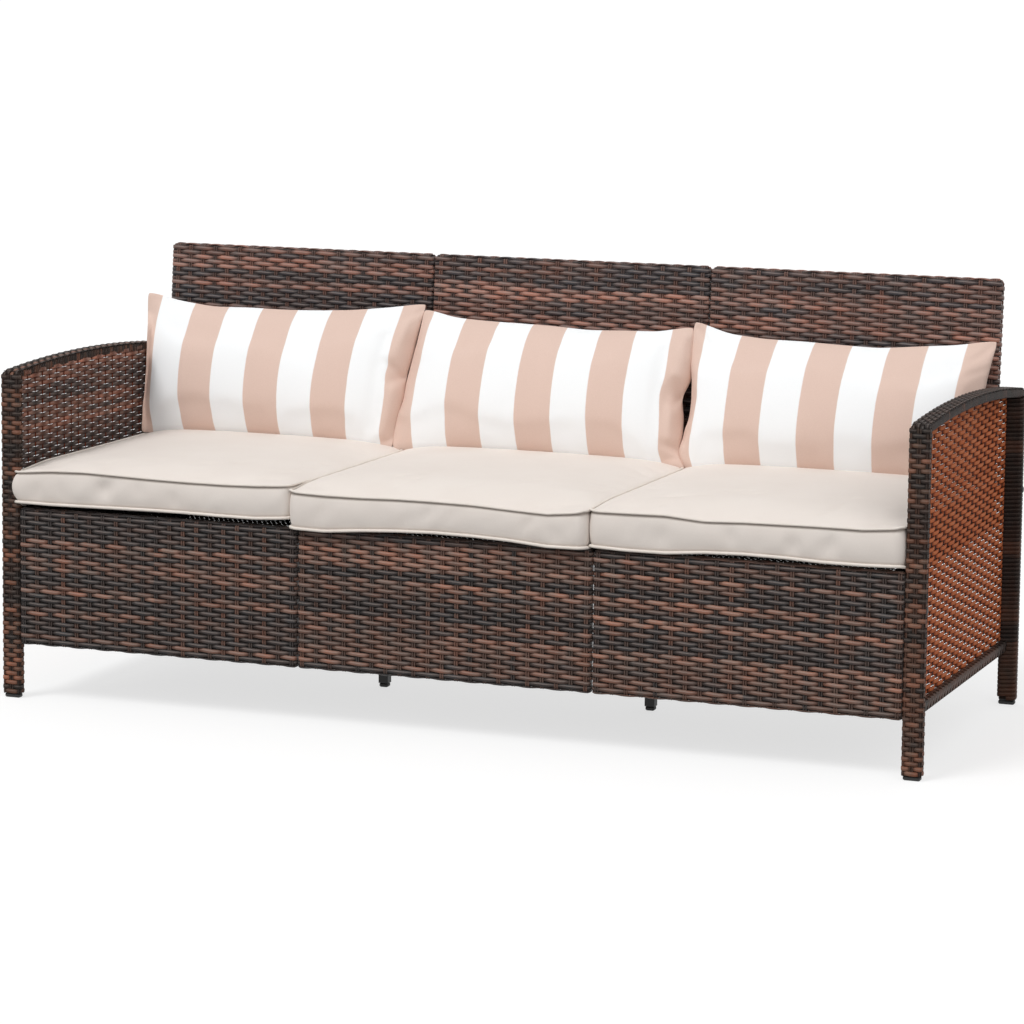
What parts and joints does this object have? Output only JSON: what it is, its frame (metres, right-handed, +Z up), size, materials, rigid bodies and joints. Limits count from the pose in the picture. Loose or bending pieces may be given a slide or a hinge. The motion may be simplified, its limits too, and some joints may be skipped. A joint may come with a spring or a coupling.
{
  "type": "rattan garden sofa",
  "caption": "Low-armed outdoor sofa of wrapped steel tube with woven skirts and backs, loose box seat cushions and striped lumbar pillows.",
  "frame": {"origin": "centre of the bounding box in plan, on the floor under the feet", "axes": "+X along the sofa to the right of someone who looks at its front, +Y from its front to its back, +Z up"},
  "size_m": [1.8276, 0.748, 0.8315],
  "materials": {
    "wrapped_tube": "satin",
    "rattan_weave": "satin",
    "arm_mesh": "satin",
    "deck_mesh": "satin",
    "foot_cap": "matte",
    "painted_steel": "satin",
    "bolt_steel": "satin",
    "cushion_cover": "matte",
    "pillow_cover": "matte"
  },
  "bodies": {
    "frame": {"left_arm_front_post": "wrapped_tube", "left_arm_panel": "arm_mesh", "left_arm_rear_post": "wrapped_tube", "left_arm_side_rail": "wrapped_tube", "left_armrest": "wrapped_tube", "left_back_foot_rail": "wrapped_tube", "left_back_left_upright": "wrapped_tube", "left_back_right_upright": "wrapped_tube", "left_back_stay": "painted_steel", "left_back_top_rail": "wrapped_tube", "left_back_weave": "rattan_weave", "left_centre_foot_cap": "foot_cap", "left_centre_leg": "painted_steel", "left_deck_left_rail": "wrapped_tube", "left_deck_net": "deck_mesh", "left_deck_rear_rail": "wrapped_tube", "left_deck_right_rail": "wrapped_tube", "left_front_bolt": "bolt_steel", "left_front_foot_cap": "foot_cap", "left_rear_bolt": "bolt_steel", "left_rear_foot_cap": "foot_cap", "left_skirt": "rattan_weave", "middle_back_foot_rail": "wrapped_tube", "middle_back_left_upright": "wrapped_tube", "middle_back_right_upright": "wrapped_tube", "middle_back_top_rail": "wrapped_tube", "middle_back_weave": "rattan_weave", "middle_deck_left_rail": "wrapped_tube", "middle_deck_net": "deck_mesh", "middle_deck_rear_rail": "wrapped_tube", "middle_deck_right_rail": "wrapped_tube", "middle_skirt": "rattan_weave", "right_arm_front_post": "wrapped_tube", "right_arm_panel": "arm_mesh", "right_arm_rear_post": "wrapped_tube", "right_arm_side_rail": "wrapped_tube", "right_armrest": "wrapped_tube", "right_back_foot_rail": "wrapped_tube", "right_back_left_upright": "wrapped_tube", "right_back_right_upright": "wrapped_tube", "right_back_stay": "painted_steel", "right_back_top_rail": "wrapped_tube", "right_back_weave": "rattan_weave", "right_centre_foot_cap": "foot_cap", "right_centre_leg": "painted_steel", "right_deck_left_rail": "wrapped_tube", "right_deck_net": "deck_mesh", "right_deck_rear_rail": "wrapped_tube", "right_deck_right_rail": "wrapped_tube", "right_front_bolt": "bolt_steel", "right_front_foot_cap": "foot_cap", "right_rear_bolt": "bolt_steel", "right_rear_foot_cap": "foot_cap", "right_skirt": "rattan_weave"},
    "left_seat_cushion": {"left_seat_cushion": "cushion_cover"},
    "left_pillow": {"left_pillow": "pillow_cover"},
    "middle_seat_cushion": {"middle_seat_cushion": "cushion_cover"},
    "middle_pillow": {"middle_pillow": "pillow_cover"},
    "right_seat_cushion": {"right_seat_cushion": "cushion_cover"},
    "right_pillow": {"right_pillow": "pillow_cover"}
  },
  "joints": [
    {"name": "left_seat_cushion_lift", "type": "slide", "parent": "frame", "child": "left_seat_cushion", "axis": [0, 0, 1], "range_m": [0, 0.3]},
    {"name": "left_pillow_lift", "type": "slide", "parent": "left_seat_cushion", "child": "left_pillow", "axis": [0, 0, 1], "range_m": [0, 0.4]},
    {"name": "middle_seat_cushion_lift", "type": "slide", "parent": "frame", "child": "middle_seat_cushion", "axis": [0, 0, 1], "range_m": [0, 0.3]},
    {"name": "middle_pillow_lift", "type": "slide", "parent": "middle_seat_cushion", "child": "middle_pillow", "axis": [0, 0, 1], "range_m": [0, 0.4]},
    {"name": "right_seat_cushion_lift", "type": "slide", "parent": "frame", "child": "right_seat_cushion", "axis": [0, 0, 1], "range_m": [0, 0.3]},
    {"name": "right_pillow_lift", "type": "slide", "parent": "right_seat_cushion", "child": "right_pillow", "axis": [0, 0, 1], "range_m": [0, 0.4]}
  ]
}
